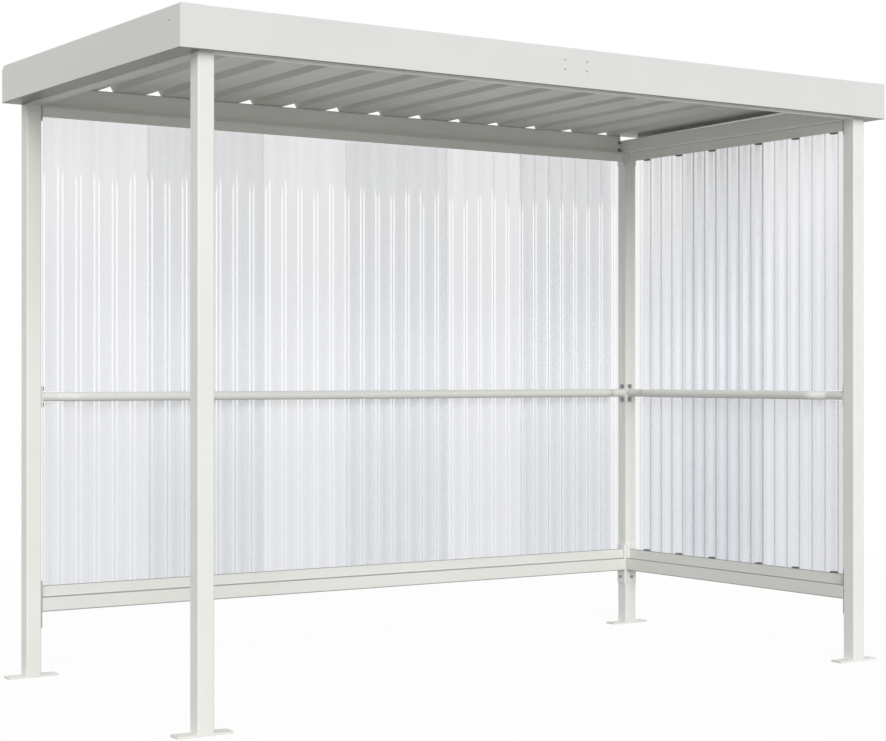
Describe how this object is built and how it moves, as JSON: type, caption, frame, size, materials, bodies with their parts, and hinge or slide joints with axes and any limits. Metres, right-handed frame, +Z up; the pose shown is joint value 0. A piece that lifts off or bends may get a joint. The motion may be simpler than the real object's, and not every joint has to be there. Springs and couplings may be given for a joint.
{
  "type": "smoking shelter",
  "caption": "Free-standing open shelter: square posts, deep flat fascia, ribbed steel roof, clear ribbed sheets on rear and right walls, leaning rails, front and left side open.",
  "frame": {"origin": "on the ground, at the centre of the shelter's outer box", "axes": "+X to the right along the front, +Y to the rear wall, +Z up"},
  "size_m": [3.15, 1.575, 2.35],
  "materials": {
    "powder_coat": "satin grey-white powder coat",
    "roof_coat": "satin grey coil coat",
    "clear_sheet": "clear ribbed plastic",
    "spacer": "matt dark profile block",
    "fixing_steel": "bright zinc plate"
  },
  "bodies": {
    "root": {"front_left_post": "powder_coat", "front_right_post": "powder_coat", "rear_left_post": "powder_coat", "rear_right_post": "powder_coat", "front_left_foot_plate": "powder_coat", "front_right_foot_plate": "powder_coat", "rear_left_foot_plate": "powder_coat", "rear_right_foot_plate": "powder_coat", "rear_top_sheet_rail": "powder_coat", "right_top_sheet_rail": "powder_coat", "rear_bottom_rail": "powder_coat", "right_bottom_rail": "powder_coat", "front_fascia": "powder_coat", "left_fascia": "powder_coat", "right_fascia": "powder_coat", "rear_leaning_rail": "powder_coat", "right_leaning_rail": "powder_coat", "rear_rail_left_end": "powder_coat", "rear_rail_right_end": "powder_coat", "right_rail_front_end": "powder_coat", "right_rail_rear_end": "powder_coat", "front_top_beam": "powder_coat", "rear_top_beam": "powder_coat", "left_top_beam": "powder_coat", "right_top_beam": "powder_coat", "rear_left_bottom_bracket": "powder_coat", "rear_right_bottom_bracket": "powder_coat", "side_front_bottom_bracket": "powder_coat", "side_rear_bottom_bracket": "powder_coat", "rear_left_top_bracket": "powder_coat", "rear_right_top_bracket": "powder_coat", "side_front_top_bracket": "powder_coat", "side_rear_top_bracket": "powder_coat", "front_fascia_stay": "powder_coat", "left_roof_sheet": "roof_coat", "middle_roof_sheet": "roof_coat", "right_roof_sheet": "roof_coat", "rear_wall_sheet_1": "clear_sheet", "rear_wall_sheet_2": "clear_sheet", "rear_wall_sheet_3": "clear_sheet", "rear_wall_sheet_4": "clear_sheet", "right_wall_sheet_front": "clear_sheet", "right_wall_sheet_rear": "clear_sheet", "right_bottom_spacers": "spacer", "right_top_spacers": "spacer"}
  },
  "joints": []
}
